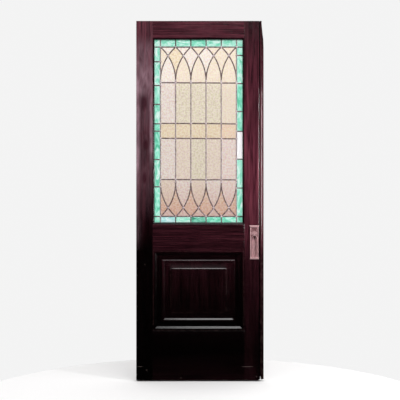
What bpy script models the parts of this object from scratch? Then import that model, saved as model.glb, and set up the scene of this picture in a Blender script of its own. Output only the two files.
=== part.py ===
# Sliding door: framed and panelled hardwood leaf, leaded light above, raised panel below,
# bronze pull plates on both faces and a worn nosing on the leading edge.
# Metres, +Z up. X runs across the door, the front faces -Y, and the top edge lies at Z = 0.
import bpy
import bmesh
from math import asin, atan2, cos, pi, sin, sqrt
from mathutils import Matrix, Vector
from mathutils.geometry import delaunay_2d_cdt

# Clearances
joint_gap = 0.0003          # between pieces that touch
glass_gap = 0.0003          # glass to lead, each side

# Joinery
door_thickness = 0.044
back_stile_width = 0.1085
lock_stile_width = 0.0975
top_rail_height = 0.1115
lock_rail_height = 0.175
bottom_rail_height = 0.3286
panel_opening_height = 0.5355
arris = 0.0012
tenon_thickness = 0.013
tenon_length = 0.062
tenon_shoulder = 0.022

# Leaded light
columns = 5
pitch = 0.1016              # column to column
side_border = 0.03925       # sight edge to the first column line
top_border = 0.0466
bottom_border = 0.0386
arch_radius = 0.3048
upper_stub = 0.0118         # straight lead between the arches' springing and the next row
lower_stub = 0.0186
upper_light_height = 0.272
band_height = 0.100
lower_light_height = 0.275
left_border_pieces = (0.0985, 0.160, 0.126, 0.130, 0.049, 0.190, 0.181)
right_border_pieces = (0.0546, 0.188, 0.186, 0.1325, 0.1865, 0.193)
leaf_width = 0.008          # flange of the lead seen on each face
leaf_thickness = 0.0012
heart_thickness = 0.0016
glass_thickness = 0.003
edge_lead_cover = 0.009     # lead round the outside, hidden by the stops
panel_fit = 0.001           # leaded light to the opening
web_height = 0.002          # web that carries the small pieces between the arches
low_arc_sides = 4
high_arc_sides = 2

# Glazing stops
stop_width = 0.0125
stop_setback = 0.002
stop_fillet = 0.0035
stop_round_sides = 4

# Raised panel and its planted moulding
panel_margin_thickness = 0.012
panel_tongue = 0.0095
groove_depth = 0.0115
bevel_side = 0.0355
bevel_end = 0.0355
bevel_rise = 0.0065
field_step = 0.003
moulding_width = 0.083
outer_round_width = 0.031
outer_round_depth = 0.009
outer_round_lip = 0.003
inner_bead_width = 0.019
inner_bead_rise = 0.0045
moulding_edge_depth = 0.013
moulding_sides = 5

# Nosing on the leading edge
quirk_width = 0.0065
quirk_depth = 0.007
nosing_width = 0.0255
nosing_shoulder = 0.003
nosing_sides = 5
nosing_short = 0.006        # the worn lower end stops above the foot of the door
chip_depth = 0.0145
chip_flat = 0.033
chip_run = 0.190
split_width = 0.006
split_height = 0.026

# Pull plate
plate_width = 0.0546
plate_height = 0.2257
plate_thickness = 0.0025
plate_top_width = 0.0646
plate_foot_width = 0.0585
plate_cornice = 0.0055
plate_neck = 0.013
plate_foot = 0.007
plate_drop = 1.3615         # door top to plate top
plate_inset = 0.0315        # plate centre to the stile's outer edge
rim_width = 0.0045
rim_rise = 0.0012
cup_width = 0.034
cup_height = 0.140
cup_foot = 0.0187           # plate's foot to the cup
cup_depth = 0.012
cup_wall = 0.0015
cup_arch_sides = 10
keyhole_radius = 0.004
keyhole_slot_width = 0.0042
keyhole_slot_drop = 0.013
keyhole_below_arch = 0.012

# Sizes that follow from the ones above
nosing_reach = quirk_width + nosing_width
opening_width = 2 * (stop_width + side_border) + columns * pitch
door_width = back_stile_width + opening_width + lock_stile_width + nosing_reach
arch_rise = sqrt(arch_radius ** 2 - (arch_radius - pitch) ** 2)
upper_arch_height = arch_rise + upper_stub
lower_arch_height = arch_rise + lower_stub
field_height = (upper_arch_height + upper_light_height + band_height
                + lower_light_height + lower_arch_height)
glazed_height = 2 * stop_width + top_border + field_height + bottom_border
door_height = (top_rail_height + glazed_height + lock_rail_height
               + panel_opening_height + bottom_rail_height)
lead_half = glass_thickness / 2 + glass_gap + leaf_thickness
groove_width = panel_margin_thickness + 2 * joint_gap

face = door_thickness / 2
left = -door_width / 2
opening_left = left + back_stile_width
opening_right = opening_left + opening_width
opening_middle = (opening_left + opening_right) / 2
stile_right = opening_right + lock_stile_width
glazed_top = -top_rail_height
glazed_bottom = glazed_top - glazed_height
panel_top = glazed_bottom - lock_rail_height
panel_bottom = panel_top - panel_opening_height
first_line = opening_left + stop_width + side_border
last_line = first_line + columns * pitch
field_top = glazed_top - stop_width - top_border
upper_row = field_top - upper_arch_height
band_top = upper_row - upper_light_height
band_bottom = band_top - band_height
lower_row = band_bottom - lower_light_height
field_bottom = lower_row - lower_arch_height
plate_x = stile_right - plate_inset
plate_top = -plate_drop
plate_bottom = plate_top - plate_height

for item in list(bpy.data.objects):
    bpy.data.objects.remove(item, do_unlink=True)

door = bpy.data.collections.new("sliding_door")
cutters = bpy.data.collections.new("cutters")
bpy.context.scene.collection.children.link(door)
bpy.context.scene.collection.children.link(cutters)


# Materials
def material(name, colour, roughness, metallic=0.0, transmission=0.0):
    made = bpy.data.materials.new(name)
    made.use_nodes = True
    shader = made.node_tree.nodes["Principled BSDF"]
    shader.inputs["Base Color"].default_value = (*colour, 1.0)
    shader.inputs["Roughness"].default_value = roughness
    shader.inputs["Metallic"].default_value = metallic
    shader.inputs["Transmission Weight"].default_value = transmission
    return made


wood = material("varnished_mahogany", (0.061, 0.014, 0.018), 0.3)
dark_wood = material("varnished_mahogany_dark", (0.02, 0.005, 0.008), 0.25)
bronze = material("worn_bronze", (0.48, 0.3, 0.3), 0.38, metallic=1.0)
lead = material("lead_came", (0.2, 0.15, 0.14), 0.5, metallic=0.9)
clear_glass = material("cathedral_glass", (0.82, 0.7, 0.6), 0.15, transmission=0.8)
peach_glass = material("peach_glass", (0.85, 0.6, 0.45), 0.15, transmission=0.8)
mint_glass = material("opalescent_glass", (0.36, 0.75, 0.6), 0.25, transmission=0.3)


# Building tools
def keep(made, finish=None):
    """Puts a piece in the door, or a tool without a finish among the cutters."""
    if finish is None:
        cutters.objects.link(made)
        made.hide_render = True
        made.display_type = "WIRE"
    else:
        door.objects.link(made)
        made.data.materials.clear()
        made.data.materials.append(finish)
    return made


def box(name, low, high, finish=None, edge=0.0):
    low = Vector(low)
    high = Vector(high)
    mesh = bpy.data.meshes.new(name)
    shape = bmesh.new()
    bmesh.ops.create_cube(shape, size=1.0)
    bmesh.ops.scale(shape, vec=high - low, verts=shape.verts)
    shape.to_mesh(mesh)
    shape.free()
    made = bpy.data.objects.new(name, mesh)
    made.location = (low + high) / 2
    if edge:
        rounding = made.modifiers.new("Arris", "BEVEL")
        rounding.width = edge
        rounding.segments = 2
        rounding.limit_method = "ANGLE"
    return keep(made, finish)


def prism(name, outlines, half_depth, finish=None, place=None):
    """Fills flat outlines and gives them depth along the local Z axis, as one mesh."""
    drawing = bpy.data.curves.new(name, "CURVE")
    drawing.dimensions = "2D"
    drawing.fill_mode = "BOTH"
    drawing.extrude = half_depth
    for outline in outlines:
        spline = drawing.splines.new("POLY")
        spline.points.add(len(outline) - 1)
        spline.use_cyclic_u = True
        for point, (across, up) in zip(spline.points, outline):
            point.co = (across, up, 0.0, 1.0)
    drawn = bpy.data.objects.new(name + "_outline", drawing)
    bpy.context.scene.collection.objects.link(drawn)
    drawn.matrix_world = place if place else Matrix.Identity(4)
    bpy.context.view_layer.update()
    evaluated = drawn.evaluated_get(bpy.context.evaluated_depsgraph_get())
    mesh = bpy.data.meshes.new_from_object(evaluated)
    shape = bmesh.new()
    shape.from_mesh(mesh)
    bmesh.ops.remove_doubles(shape, verts=shape.verts, dist=0.00001)
    bmesh.ops.recalc_face_normals(shape, faces=shape.faces)
    shape.to_mesh(mesh)
    shape.free()
    made = bpy.data.objects.new(name, mesh)
    made.matrix_world = drawn.matrix_world
    bpy.data.objects.remove(drawn, do_unlink=True)
    return keep(made, finish)


def boolean(target, tool, operation):
    change = target.modifiers.new(tool.name, "BOOLEAN")
    change.object = tool
    change.operation = operation
    change.solver = "EXACT"


def cut(target, *tools):
    for tool in tools:
        boolean(target, tool, "DIFFERENCE")


def join(target, *tools):
    for tool in tools:
        boolean(target, tool, "UNION")


def standing(x=0.0, y=0.0, z=0.0):
    """Turns a drawing upright: its X stays across the door and its Y points up."""
    return Matrix.Translation((x, y, z)) @ Matrix.Rotation(pi / 2, 4, "X")


def arc(centre, radius, first, last, sides):
    points = []
    for step in range(sides + 1):
        angle = first + (last - first) * step / sides
        points.append((centre[0] + radius[0] * cos(angle), centre[1] + radius[1] * sin(angle)))
    return points


# Stiles and rails
def mortise(name, edge_x, direction, low, high):
    inner = edge_x - direction * 0.01
    outer = edge_x + direction * (tenon_length + joint_gap)
    half = tenon_thickness / 2 + joint_gap
    bottom = low + tenon_shoulder - joint_gap
    top = high - tenon_shoulder + joint_gap
    return box(name, (min(inner, outer), -half, bottom), (max(inner, outer), half, top))


def panel_groove(name, low_x, high_x, low_z, high_z):
    half = groove_width / 2
    return box(name, (low_x, -half, low_z), (high_x, half, high_z))


rail_spans = {
    "top_rail": (glazed_top, 0.0),
    "lock_rail": (panel_top, glazed_bottom),
    "bottom_rail": (-door_height, panel_bottom),
}
panel_pocket = panel_groove("panel_groove", opening_left - groove_depth, opening_right + groove_depth,
                            panel_bottom - groove_depth, panel_top + groove_depth)


def make_stile(name, low_x, high_x, edge_x, direction):
    stile = box(name, (low_x, -face, -door_height), (high_x, face, 0.0), wood, arris)
    for rail_name, (low, high) in rail_spans.items():
        cut(stile, mortise(name + "_" + rail_name + "_mortise", edge_x, direction, low, high))
    cut(stile, panel_pocket)
    return stile


def make_rail(name, low, high, finish):
    rail = box(name, (opening_left + joint_gap, -face, low), (opening_right - joint_gap, face, high),
               finish, arris)
    half = tenon_thickness / 2
    join(rail, box(name + "_tenons",
                   (opening_left - tenon_length, -half, low + tenon_shoulder),
                   (opening_right + tenon_length, half, high - tenon_shoulder)))
    return rail


back_stile = make_stile("back_stile", left, opening_left, opening_left, -1)
lock_stile = make_stile("lock_stile", opening_right, stile_right, opening_right, 1)
top_rail = make_rail("top_rail", *rail_spans["top_rail"], wood)
lock_rail = make_rail("lock_rail", *rail_spans["lock_rail"], dark_wood)
bottom_rail = make_rail("bottom_rail", *rail_spans["bottom_rail"], dark_wood)
cut(lock_rail, panel_pocket)
cut(bottom_rail, panel_pocket)


# Mitred strips: a profile drawn across the strip, with its length along the local Z axis
def mitred_strip(name, profile, inward, depth_way, edge_point, length, finish):
    inward = Vector(inward)
    depth_way = Vector(depth_way)
    run = inward.cross(depth_way)
    turn = Matrix((inward, depth_way, run)).transposed().to_4x4()
    strip = prism(name, [profile], length / 2, finish, Matrix.Translation(edge_point) @ turn)
    for vertex in strip.data.vertices:
        reach = length / 2 - vertex.co.x - joint_gap
        vertex.co.z = reach if vertex.co.z > 0 else -reach
    strip.data.shade_smooth()
    strip.data.set_sharp_from_angle(angle=pi / 6)
    return strip


def strip_frame(name, profile, low_z, high_z, finish):
    """Four mitred strips round an opening on the front, and the same four on the back."""
    width = opening_right - opening_left
    height = high_z - low_z
    middle_z = (low_z + high_z) / 2
    for side_name, side in (("front", -1), ("back", 1)):
        depth_way = (0, -side, 0)
        y = side * face
        sides = {
            "top": ((0, 0, -1), (opening_middle, y, high_z), width),
            "bottom": ((0, 0, 1), (opening_middle, y, low_z), width),
            "left": ((1, 0, 0), (opening_left, y, middle_z), height),
            "right": ((-1, 0, 0), (opening_right, y, middle_z), height),
        }
        for where, (inward, edge_point, length) in sides.items():
            mitred_strip(f"{name}_{side_name}_{where}", profile, inward, depth_way,
                         edge_point, length, finish)


# Glazing stops: an ovolo that leans in to the glass
stop_depth = face - lead_half - joint_gap
stop_round = stop_width - stop_fillet
stop_profile = [(joint_gap, stop_depth), (joint_gap, stop_setback)]
stop_profile += arc((stop_fillet, stop_setback + stop_round), (stop_round, stop_round),
                    -pi / 2, 0.0, stop_round_sides)
stop_profile += [(stop_width, stop_depth)]
strip_frame("glazing_stop", stop_profile, glazed_bottom, glazed_top, wood)

# Panel moulding: a broad outer round, a shallow hollow and a small inner bead
panel_face = face - panel_margin_thickness / 2
moulding_back = panel_face - joint_gap
round_crown = outer_round_width - 0.7 * outer_round_width
bead_centre = moulding_width - inner_bead_width / 2
moulding_profile = [(joint_gap, moulding_back)]
moulding_profile += arc((round_crown, outer_round_lip), (round_crown - joint_gap, outer_round_lip),
                        -pi, -pi / 2, 2)
moulding_profile += arc((round_crown, outer_round_depth),
                        (outer_round_width - round_crown, outer_round_depth),
                        -pi / 2, 0.0, moulding_sides)[1:]
hollow_width = bead_centre - inner_bead_width / 2 - outer_round_width
hollow_depth = moulding_edge_depth - outer_round_depth
for step in range(1, 4):
    share = step / 3
    moulding_profile.append((outer_round_width + hollow_width * share,
                             outer_round_depth + hollow_depth * sin(share * pi / 2)))
moulding_profile += arc((bead_centre, moulding_edge_depth), (inner_bead_width / 2, inner_bead_rise),
                        -pi, 0.0, moulding_sides)[1:]
moulding_profile += [(moulding_width, moulding_back)]
strip_frame("panel_moulding", moulding_profile, panel_bottom, panel_top, dark_wood)


# Raised panel: a flat margin, sloping bevels and a stepped field on both faces
def raised_block(name, half_width, half_height, top_width, top_height, depth_half):
    mesh = bpy.data.meshes.new(name)
    shape = bmesh.new()
    bmesh.ops.create_cube(shape, size=2.0)
    for vertex in shape.verts:
        outer = vertex.co.y < 0
        vertex.co.x *= top_width if outer else half_width
        vertex.co.z *= top_height if outer else half_height
        vertex.co.y = -depth_half if outer else 0.0
    shape.to_mesh(mesh)
    shape.free()
    return mesh


field_half_width = opening_width / 2 - moulding_width - bevel_side
field_half_height = panel_opening_height / 2 - moulding_width - bevel_end
bevel_half_width = field_half_width + bevel_side
bevel_half_height = field_half_height + bevel_end
panel_middle = (opening_middle, 0.0, (panel_top + panel_bottom) / 2)
margin_half = panel_margin_thickness / 2
bevel_slope = bevel_rise / bevel_side
panel = box("panel",
            (opening_left - panel_tongue, -margin_half, panel_bottom - panel_tongue),
            (opening_right + panel_tongue, margin_half, panel_top + panel_tongue), dark_wood)
bevel_mesh = raised_block("panel_bevel",
                          bevel_half_width + margin_half / bevel_slope * 0.5,
                          bevel_half_height + margin_half / bevel_slope * 0.5,
                          field_half_width, field_half_height, margin_half + bevel_rise)
for side_name, turn in (("front", 0.0), ("back", pi)):
    bevel = keep(bpy.data.objects.new("panel_bevel_" + side_name, bevel_mesh))
    bevel.location = panel_middle
    bevel.rotation_euler = (0.0, 0.0, turn)
    join(panel, bevel)
field_depth = margin_half + bevel_rise + field_step
join(panel, box("panel_field",
                (opening_middle - field_half_width, -field_depth, panel_middle[2] - field_half_height),
                (opening_middle + field_half_width, field_depth, panel_middle[2] + field_half_height)))


# Nosing: seen in plan, a quirk and a round that wraps the leading edge
def make_nosing():
    half = face - quirk_depth
    round_start = quirk_width + nosing_shoulder
    shoulder = face - nosing_shoulder
    plan = [(joint_gap, half), (joint_gap, -half), (quirk_width, -half), (quirk_width, -shoulder)]
    plan += arc((round_start, 0.0), (nosing_reach - round_start, face), -pi / 2, pi / 2, 2 * nosing_sides)
    plan += [(quirk_width, shoulder), (quirk_width, half)]
    length = door_height - nosing_short
    nosing = prism("edge_nosing", [plan], length / 2, wood,
                   Matrix.Translation((stile_right, 0.0, -length / 2)))
    nosing.data.shade_smooth()
    nosing.data.set_sharp_from_angle(angle=pi / 6)
    past = 0.01
    chip = [(nosing_reach - chip_depth, past),
            (nosing_reach - chip_depth, -0.5 * chip_flat),
            (nosing_reach - 0.9 * chip_depth, -chip_flat),
            (nosing_reach - 0.45 * chip_depth, -0.5 * chip_run),
            (nosing_reach - 0.2 * chip_depth, -0.62 * chip_run),
            (nosing_reach + 0.05 * chip_depth, -chip_run),
            (nosing_reach + past, -chip_run),
            (nosing_reach + past, past)]
    cut(nosing, prism("nosing_chip", [chip], door_thickness, None, standing(stile_right, 0.0, 0.0)))
    split_left = quirk_width + 0.1 * split_width
    split = [(split_left, -past), (split_left + split_width, -past),
             (split_left + split_width, 0.0), (split_left + 0.7 * split_width, 0.7 * split_height),
             (split_left + 0.4 * split_width, split_height), (split_left, 0.5 * split_height)]
    cut(nosing, prism("nosing_split", [split], door_thickness, None,
                      standing(stile_right, 0.0, -length)))
    return nosing


make_nosing()


# Leaded light. In an arched zone, points are (distance from the first column line,
# height above the springing), and every outline is drawn inset from the lead's middle line.
def circles_meet(left_centre, left_radius, right_centre, right_radius):
    span = right_centre - left_centre
    along = (span ** 2 + left_radius ** 2 - right_radius ** 2) / (2 * span)
    return (left_centre + along, sqrt(left_radius ** 2 - along ** 2))


def along_circle(centre, radius, start, end, sides):
    """Points along a circle centred on the springing line, from start to end."""
    first = atan2(start[1], start[0] - centre)
    last = atan2(end[1], end[0] - centre)
    points = arc((centre, 0.0), (radius, radius), first, last, sides)
    return points[1:-1]


def lancet(column, inset, stub):
    low = column * pitch + inset
    high = (column + 1) * pitch - inset
    radius = arch_radius - inset
    right_going = column * pitch + arch_radius
    left_going = (column + 1) * pitch - arch_radius
    tip = circles_meet(left_going, radius, right_going, radius)
    outline = [(low, inset - stub), (high, inset - stub), (high, 0.0)]
    outline += along_circle(left_going, radius, (high, 0.0), tip, low_arc_sides)
    outline += [tip]
    outline += along_circle(right_going, radius, tip, (low, 0.0), low_arc_sides)
    outline += [(low, 0.0)]
    return outline


def diamond_flank(line, inset):
    """The right half of the diamond that stands on a column line, from its foot to its top."""
    x = line * pitch
    outer = arch_radius + inset
    inner = arch_radius - inset
    own = x + arch_radius
    next_one = x + pitch - arch_radius
    at_edge = line == 0
    foot_x = x + inset if at_edge else x
    foot = (foot_x, sqrt(outer ** 2 - (own - foot_x) ** 2))
    corner = circles_meet(next_one, inner, own, outer)
    head = (foot_x, sqrt(inner ** 2 - (foot_x - next_one) ** 2))
    flank = [foot]
    flank += along_circle(own, outer, foot, corner, low_arc_sides)
    flank += [corner]
    flank += along_circle(next_one, inner, corner, head, high_arc_sides)
    flank += [head]
    return flank


def mirrored(outline, middle):
    return [(2 * middle - x, up) for x, up in reversed(outline)]


def spandrel_outlines(inset):
    """Half diamonds, diamonds and triangles between the arches, from left to right."""
    radius = arch_radius + inset
    head = arch_rise - inset
    outlines = [diamond_flank(0, inset)]
    for column in range(columns):
        right_going = column * pitch + arch_radius
        left_going = (column + 1) * pitch - arch_radius
        middle = (column + 0.5) * pitch
        foot = circles_meet(left_going, radius, right_going, radius)
        corner = (right_going - sqrt(radius ** 2 - head ** 2), head)
        flank = [foot] + along_circle(right_going, radius, foot, corner, high_arc_sides) + [corner]
        outlines.append(flank + mirrored(flank, middle)[:-1])
        line = column + 1
        if line < columns:
            flank = diamond_flank(line, inset)
            outlines.append(flank + mirrored(flank, line * pitch)[1:-1])
    outlines.append(mirrored(diamond_flank(0, inset), columns * pitch / 2))
    return outlines


def stretch_below(outline, level):
    """The part of an outline under a level, from its left crossing round to its right one."""
    stretch = []
    for (x, up), (next_x, next_up) in zip(outline, outline[1:] + outline[:1]):
        if up < level:
            stretch.append((x, up))
        if (up < level) != (next_up < level):
            share = (level - up) / (next_up - up)
            stretch.append((x + share * (next_x - x), level))
    start = min(range(len(stretch)), key=lambda place: (stretch[place][1] < level, stretch[place][0]))
    return stretch[start:] + stretch[:start]


def spandrel_comb(inset):
    """One outline for the pieces between the arches, carried by a web under the edge lead."""
    level = arch_rise - 2 * glass_inset - web_height + inset
    outline = []
    for piece in spandrel_outlines(inset):
        outline += stretch_below(piece, level)
    head = arch_rise - inset
    return outline + [(columns * pitch - inset, head), (inset, head)]


def placed(outlines, spring, way):
    """Moves arched-zone outlines to the door; way is 1 where the arches point up, -1 down."""
    return [[(first_line + x, spring + way * up) for x, up in outline] for outline in outlines]


def rectangle(low_x, high_x, low_z, high_z, inset):
    return [(low_x + inset, low_z + inset), (high_x - inset, low_z + inset),
            (high_x - inset, high_z - inset), (low_x + inset, high_z - inset)]


# Springing height, which way the arches point, and the straight lead below the springing
zones = {"top": (field_top - arch_rise, 1, upper_stub),
         "bottom": (field_bottom + arch_rise, -1, lower_stub)}
rows = {"upper_light": (band_top, upper_row),
        "band_light": (band_bottom, band_top),
        "lower_light": (lower_row, band_bottom)}
row_glass = {"upper_light": clear_glass, "band_light": peach_glass, "lower_light": clear_glass}
lines = [first_line + line * pitch for line in range(columns + 1)]


def border_steps(pieces):
    """Heights of the lead across a side border, from the top line of the field downwards."""
    heights = [field_top]
    for piece in pieces:
        heights.append(heights[-1] - piece)
    return heights + [field_bottom]


def border_strips(inset):
    """The four border strips between the outer lead's heart and the field's edge leads."""
    outer = panel_fit + heart_thickness / 2
    low_x = opening_left + outer
    high_x = opening_right - outer
    return {
        "border_top": rectangle(low_x, high_x, field_top, glazed_top - outer, inset),
        "border_bottom": rectangle(low_x, high_x, glazed_bottom + outer, field_bottom, inset),
        "border_left": rectangle(low_x, first_line, field_bottom, field_top, inset),
        "border_right": rectangle(last_line, high_x, field_bottom, field_top, inset),
    }


def border_daylight(inset):
    """What is seen of each border strip between the leads that cross it."""
    outer = panel_fit + edge_lead_cover - inset
    stops = [opening_left + outer] + lines + [opening_right - outer]
    spans = list(zip(stops, stops[1:]))
    left_heights = border_steps(left_border_pieces)
    right_heights = border_steps(right_border_pieces)
    return {
        "border_top": [rectangle(low_x, high_x, field_top, glazed_top - outer, inset)
                       for low_x, high_x in spans],
        "border_bottom": [rectangle(low_x, high_x, glazed_bottom + outer, field_bottom, inset)
                          for low_x, high_x in spans],
        "border_left": [rectangle(stops[0], first_line, low, high, inset)
                        for high, low in zip(left_heights, left_heights[1:])],
        "border_right": [rectangle(last_line, stops[-1], low, high, inset)
                         for high, low in zip(right_heights, right_heights[1:])],
    }


def glass_layout(inset):
    """Name to outline and glass, for every piece of glass that is a solid of its own."""
    layout = {}
    for zone, (spring, way, stub) in zones.items():
        lancets = placed([lancet(column, inset, stub) for column in range(columns)], spring, way)
        for number, outline in enumerate(lancets, 1):
            layout[f"lancet_{zone}_{number}"] = (outline, clear_glass)
        layout[f"spandrels_{zone}"] = (placed([spandrel_comb(inset)], spring, way)[0], clear_glass)
    for row, (low, high) in rows.items():
        for number, (low_x, high_x) in enumerate(zip(lines, lines[1:]), 1):
            layout[f"{row}_{number}"] = (rectangle(low_x, high_x, low, high, inset), row_glass[row])
    for name, outline in border_strips(inset).items():
        layout[name] = (outline, mint_glass)
    return layout


def daylight_layout():
    """Name to the openings between the lead's flanges, in front of that piece of glass."""
    inset = leaf_width / 2
    layout = border_daylight(inset)
    for name, (outline, finish) in glass_layout(inset).items():
        if name not in layout:
            layout[name] = [outline]
    for zone, (spring, way, stub) in zones.items():
        layout[f"spandrels_{zone}"] = placed(spandrel_outlines(inset), spring, way)
    return layout


# The lead is an H in section: its flanges are filled between outlines, and walls join them
def inside(point, outline):
    x, z = point
    crossings = 0
    for (x0, z0), (x1, z1) in zip(outline, outline[1:] + outline[:1]):
        if (z0 > z) != (z1 > z) and x < x0 + (z - z0) / (z1 - z0) * (x1 - x0):
            crossings += 1
    return crossings % 2 == 1


def add_flat(shape, outer, holes, depths):
    """Fills an outline, less its holes, at each depth along Y."""
    points = []
    edges = []
    for loop in [outer] + holes:
        start = len(points)
        points += [Vector(point) for point in loop]
        edges += [(start + place, start + (place + 1) % len(loop)) for place in range(len(loop))]
    filled = delaunay_2d_cdt(points, edges, [], 1, 1e-7)
    corners = filled[0]
    for face_corners in filled[2]:
        triangle = [corners[corner] for corner in face_corners]
        middle = sum(triangle, Vector((0.0, 0.0))) / 3
        if any(inside(middle, hole) for hole in holes):
            continue
        for depth in depths:
            shape.faces.new([shape.verts.new((x, depth, z)) for x, z in triangle])


def add_wall(shape, outline, near, far):
    for (x0, z0), (x1, z1) in zip(outline, outline[1:] + outline[:1]):
        wall = [(x0, near, z0), (x1, near, z1), (x1, far, z1), (x0, far, z0)]
        shape.faces.new([shape.verts.new(corner) for corner in wall])


def make_lead_lattice():
    shape = bmesh.new()
    sheet = rectangle(opening_left, opening_right, glazed_bottom, glazed_top, panel_fit)
    daylight = daylight_layout()
    openings = [opening for group in daylight.values() for opening in group]
    add_flat(shape, sheet, openings, (-lead_half, lead_half))
    add_wall(shape, sheet, -lead_half, lead_half)
    for name, (channel, finish) in glass_layout(heart_inset).items():
        add_flat(shape, channel, daylight[name], (-channel_half, channel_half))
        add_wall(shape, channel, -channel_half, channel_half)
    for opening in openings:
        add_wall(shape, opening, -lead_half, -channel_half)
        add_wall(shape, opening, channel_half, lead_half)
    bmesh.ops.remove_doubles(shape, verts=shape.verts, dist=0.000001)
    bmesh.ops.recalc_face_normals(shape, faces=shape.faces)
    mesh = bpy.data.meshes.new("lead_lattice")
    shape.to_mesh(mesh)
    shape.free()
    return keep(bpy.data.objects.new("lead_lattice", mesh), lead)


heart_inset = heart_thickness / 2
glass_inset = heart_inset + glass_gap
channel_half = glass_thickness / 2 + glass_gap
make_lead_lattice()
for name, (outline, finish) in glass_layout(glass_inset).items():
    prism(name, [outline], glass_thickness / 2, finish, standing())


# Pull plates. Outlines are (distance from the plate's middle, height below its top edge).
def cup_outline(grow):
    half = cup_width / 2 + grow
    foot = cup_foot - plate_height - grow
    spring = foot + grow + cup_height - cup_width / 2
    return [(-half, foot), (half, foot)] + arc((0.0, spring), (half, half), 0.0, pi, cup_arch_sides)


def plate_outline():
    right = [(plate_foot_width / 2, -plate_height),
             (plate_foot_width / 2, plate_foot - plate_height),
             (plate_width / 2, 2 * plate_foot - plate_height),
             (plate_width / 2, -plate_neck),
             (0.35 * plate_top_width / 2 + 0.65 * plate_width / 2, -0.5 * (plate_neck + plate_cornice)),
             (plate_top_width / 2, -plate_cornice),
             (plate_top_width / 2, 0.0)]
    return right + [(-x, up) for x, up in reversed(right)]


def keyhole_outline():
    centre = cup_foot - plate_height + cup_height - keyhole_below_arch
    half = keyhole_slot_width / 2
    start = asin(half / keyhole_radius) - pi / 2
    outline = arc((0.0, centre), (keyhole_radius, keyhole_radius), start, pi - start, 10)
    return outline + [(-half, centre - keyhole_slot_drop), (half, centre - keyhole_slot_drop)]


def upright_prism(name, outlines, near, far, side, finish=None):
    """A prism over the plate's outline, from near to far, both measured out from the door's middle."""
    middle = side * (near + far) / 2
    return prism(name, outlines, (far - near) / 2, finish, standing(plate_x, middle, plate_top))


keyhole = upright_prism("keyhole", [keyhole_outline()], -door_thickness, door_thickness, 1)
plate_seat = face + joint_gap
plate_face = plate_seat + plate_thickness + rim_rise
cup_floor = plate_face - cup_depth
cup_back = cup_floor - cup_wall


def make_plate(name, side):
    plate = upright_prism(name, [plate_outline()], plate_seat, plate_face, side, bronze)
    past = plate_face + rim_rise
    half = plate_width / 2 - rim_width
    sunk = [(-half, 2 * plate_foot - plate_height), (half, 2 * plate_foot - plate_height),
            (half, -plate_neck), (-half, -plate_neck)]
    cut(plate, upright_prism(name + "_sunk_field", [sunk, cup_outline(rim_width / 2)],
                             plate_face - rim_rise, past, side))
    join(plate, upright_prism(name + "_cup", [cup_outline(cup_wall)], cup_back,
                              plate_seat + plate_thickness / 2, side))
    cut(plate, upright_prism(name + "_hollow", [cup_outline(0.0)], cup_floor, past, side))
    cut(plate, keyhole)
    return plate


def make_lock_mortise():
    """A plain mortise right through the stile, which both cups and the lock stand in."""
    grow = cup_wall + joint_gap
    half = cup_width / 2 + grow
    foot = plate_bottom + cup_foot - grow
    return box("lock_mortise", (plate_x - half, -door_thickness, foot),
               (plate_x + half, door_thickness, foot + cup_height + 2 * grow))


make_plate("lock_plate_front", -1)
make_plate("lock_plate_back", 1)
cut(lock_stile, make_lock_mortise())
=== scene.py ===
# Sliding door with a leaded light: the look of every surface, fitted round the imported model.
import random
from math import acos, atan2, cos, hypot, pi, radians, sin, sqrt

import bmesh
import bpy
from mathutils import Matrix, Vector, noise
from mathutils.geometry import delaunay_2d_cdt


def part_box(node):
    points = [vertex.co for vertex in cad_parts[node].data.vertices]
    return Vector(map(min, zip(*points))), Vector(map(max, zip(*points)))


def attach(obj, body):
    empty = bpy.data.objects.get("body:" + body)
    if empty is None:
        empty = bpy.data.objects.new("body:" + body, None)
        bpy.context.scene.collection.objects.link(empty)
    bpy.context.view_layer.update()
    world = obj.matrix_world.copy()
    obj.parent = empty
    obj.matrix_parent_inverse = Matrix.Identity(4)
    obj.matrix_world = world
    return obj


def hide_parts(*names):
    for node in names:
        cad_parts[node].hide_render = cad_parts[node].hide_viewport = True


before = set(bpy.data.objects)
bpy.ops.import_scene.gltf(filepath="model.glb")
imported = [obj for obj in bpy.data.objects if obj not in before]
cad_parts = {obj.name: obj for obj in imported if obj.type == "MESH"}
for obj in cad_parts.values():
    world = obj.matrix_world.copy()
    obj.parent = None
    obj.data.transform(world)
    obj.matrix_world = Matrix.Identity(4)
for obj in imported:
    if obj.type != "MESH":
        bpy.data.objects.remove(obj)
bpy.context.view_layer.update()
random.seed(1892)
print("frame loaded:", len(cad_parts), "nodes")

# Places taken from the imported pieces, in metres
seam = 0.0003               # what touching pieces keep between them
play = 0.001                # between the light and its opening
stileLow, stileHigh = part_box("back_stile")
lockLow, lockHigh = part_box("lock_stile")
leadLow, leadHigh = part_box("lead_lattice")
faceDepth = stileHigh.y
doorHeight = -stileLow.z
openingLeft = stileHigh.x
openingRight = lockLow.x
openingMiddle = (openingLeft + openingRight) / 2
glazedTop = leadHigh.z + play
glazedBottom = leadLow.z - play
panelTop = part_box("panel_moulding_front_top")[1].z + seam
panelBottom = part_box("panel_moulding_front_bottom")[0].z - seam
stileEdge = lockHigh.x


# Colour and nodes
# An sRGB hex colour as the linear values that a shader takes
def paint(code):
    values = [int(code[place:place + 2], 16) / 255 for place in (1, 3, 5)]
    linear = [value / 12.92 if value < 0.04045 else ((value + 0.055) / 1.055) ** 2.4 for value in values]
    return (*linear, 1.0)


def grey(value):
    return (value, value, value, 1.0)


# Each input takes a socket that feeds it, or a plain value
def feed(node, inputs):
    for name, source in inputs.items():
        if isinstance(source, bpy.types.NodeSocket):
            node.id_data.links.new(source, node.inputs[name])
        else:
            node.inputs[name].default_value = source


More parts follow.
